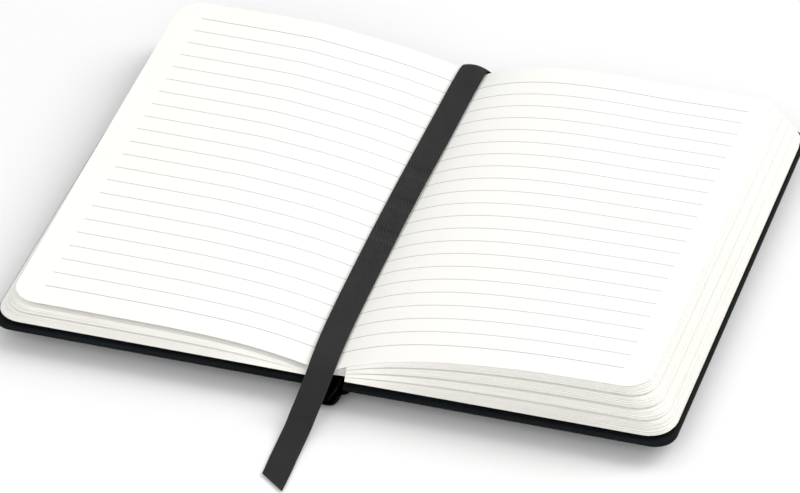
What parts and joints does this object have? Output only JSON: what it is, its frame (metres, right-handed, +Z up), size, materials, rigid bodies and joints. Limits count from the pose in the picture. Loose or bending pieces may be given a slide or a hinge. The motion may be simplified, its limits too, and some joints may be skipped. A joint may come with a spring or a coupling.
{
  "type": "pocket notebook",
  "caption": "Open hardcover pocket notebook with ruled leaves, black leatherette covers, a folding spine and a ribbon bookmark.",
  "frame": {"origin": "below the middle of the spine, on the level of the open spine's lowest edge", "axes": "+X across the open book towards the back cover's fore-edge, +Y along the spine towards the head, +Z up, away from the covers"},
  "size_m": [0.181, 0.18, 0.0205],
  "materials": {
    "leatherette": "fine-grained matt black leatherette",
    "greyboard": "raw grey bookbinding board",
    "endpaper": "plain cream endpaper",
    "paper": "cream writing paper with thin grey rules",
    "binding_cloth": "white open-weave mull and linen thread",
    "ribbon": "black woven satin ribbon"
  },
  "bodies": {
    "back_cover": {"back_cover_skin": "leatherette", "back_board": "greyboard", "back_pastedown": "endpaper", "back_flyleaf": "endpaper", "right_section_1": "paper", "right_section_2": "paper", "right_section_3": "paper", "right_section_4": "paper", "right_sewn_folds": "paper", "left_sewn_folds": "paper", "spine_mull": "binding_cloth", "sewing_thread": "binding_cloth", "ribbon_bookmark": "ribbon"},
    "right_leaf": {"right_leaf": "paper"},
    "spine_back": {"spine_skin_back_half": "leatherette", "spine_liner_back_half": "greyboard"},
    "spine_front": {"spine_skin_front_half": "leatherette", "spine_liner_front_half": "greyboard"},
    "front_cover": {"front_cover_skin": "leatherette", "front_board": "greyboard", "front_pastedown": "endpaper", "front_flyleaf": "endpaper", "left_section_1": "paper", "left_section_2": "paper"},
    "left_leaf": {"left_leaf": "paper"}
  },
  "joints": [
    {"name": "back_hinge", "type": "hinge", "parent": "back_cover", "child": "spine_back", "pos_m": [0.0037, 0, 0.0065], "axis": [0, 1, 0], "range_deg": [0, 150.48], "deforming": ["right_section_3", "right_section_4", "right_sewn_folds", "left_sewn_folds", "spine_mull", "sewing_thread", "left_section_2", "right_leaf", "left_leaf", "ribbon_bookmark"]},
    {"name": "spine_fold", "type": "hinge", "parent": "spine_back", "child": "spine_front", "pos_m": [0, 0, -0.00003], "axis": [0, 1, 0], "range_deg": [-126.95, 0]},
    {"name": "front_hinge", "type": "hinge", "parent": "spine_front", "child": "front_cover", "pos_m": [-0.0037, 0, 0.0065], "axis": [0, 1, 0], "range_deg": [0, 156.48]},
    {"name": "right_leaf_turn", "type": "hinge", "parent": "back_cover", "child": "right_leaf", "pos_m": [0.0046, 0, 0.01164], "axis": [0, 1, 0], "range_deg": [-120, 0]},
    {"name": "left_leaf_turn", "type": "hinge", "parent": "front_cover", "child": "left_leaf", "pos_m": [-0.0046, 0, 0.01016], "axis": [0, -1, 0], "range_deg": [-120, 0]}
  ],
  "couplings": [
    {"joint": "spine_fold", "follows": "back_hinge", "ratio": -0.8038},
    {"joint": "front_hinge", "follows": "back_hinge", "ratio": 1}
  ]
}
